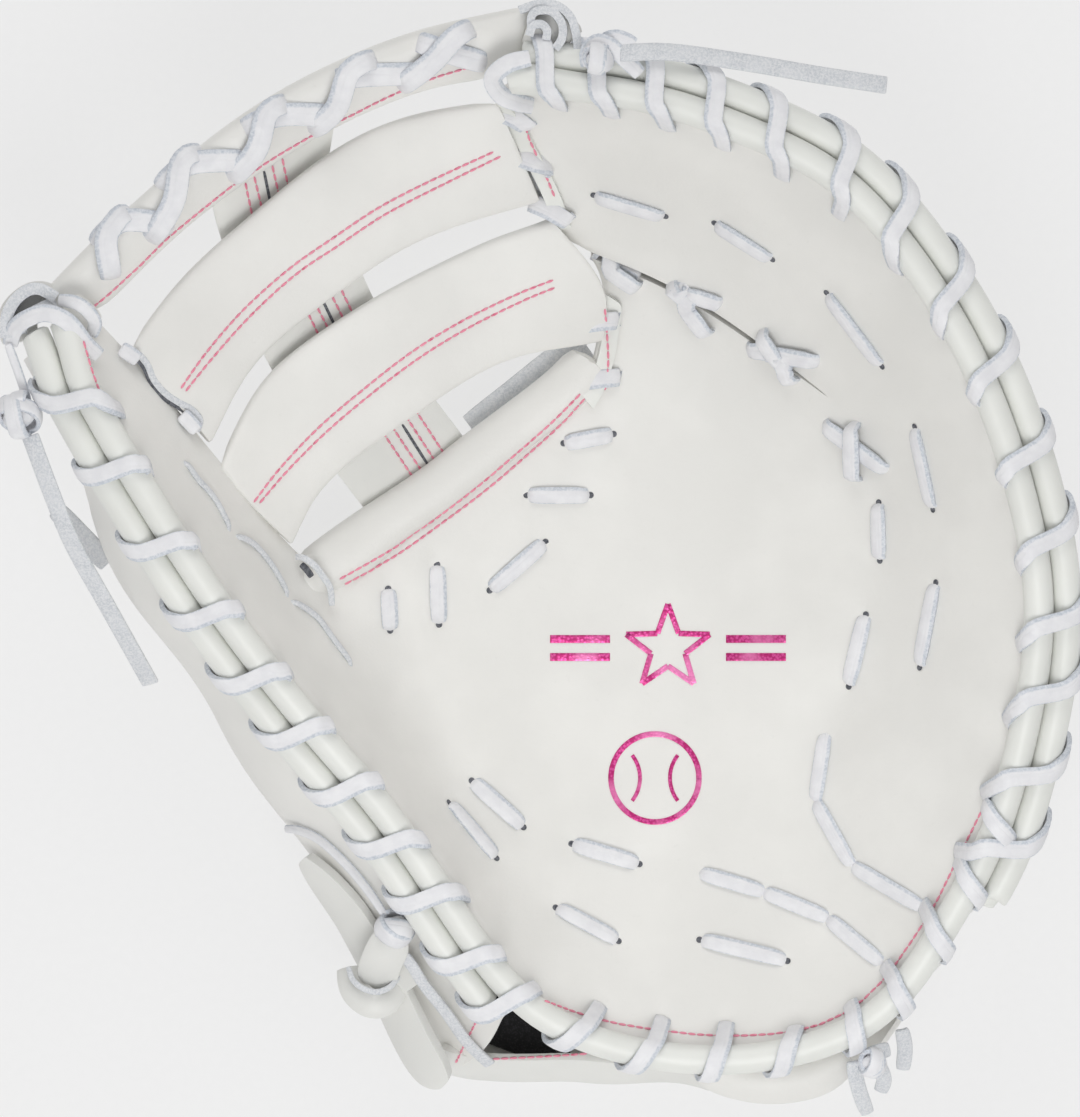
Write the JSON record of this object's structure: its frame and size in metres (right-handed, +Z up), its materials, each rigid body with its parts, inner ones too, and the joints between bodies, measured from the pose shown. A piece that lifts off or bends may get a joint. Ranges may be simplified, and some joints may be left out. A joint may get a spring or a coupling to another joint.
{
  "type": "first baseman mitt",
  "caption": "Ivory leather first baseman mitt for the left hand, lying on its back: padded palm with a dished pocket, rolled and laced rim, barred web, open back and wrist strap.",
  "frame": {"origin": "on the surface that the mitt lies on, under the middle of its box, free lace ends left out", "axes": "+Z up out of the pocket, +Y from the heel towards the web and the finger tips, +X from the thumb towards the little finger's side"},
  "size_m": [0.3246, 0.3388, 0.1119],
  "materials": {
    "leather": "smooth matt grain",
    "rolled_leather": "smooth, slightly glossier roll",
    "lace": "matt rawhide with suede edges",
    "lining": "matt black",
    "stitching": "waxed thread",
    "foil": "crinkled metallic foil"
  },
  "bodies": {
    "root": {"front_shell": "leather", "thumb_back": "leather", "finger_back": "leather", "wrist_strap": "leather", "hand_lining": "lining", "front_welt": "rolled_leather", "back_welt_thumb": "rolled_leather", "back_welt_fingers": "rolled_leather", "edge_lace_thumb": "lace", "edge_lace_heel": "lace", "edge_lace_fingers": "lace", "web_top_bar": "leather", "web_bar_2": "leather", "web_bar_3": "leather", "palm_top_roll": "leather", "web_strap": "leather", "finger_binding": "leather", "palm_tab": "leather", "toggle_tab": "leather", "toggle_loop": "lace", "top_knot": "lace", "thumb_knot": "lace", "heel_knot": "lace", "top_lace_tail": "lace", "thumb_lace_tail": "lace", "toggle_knot": "lace", "toggle_lace_tail": "lace"}
  },
  "joints": []
}
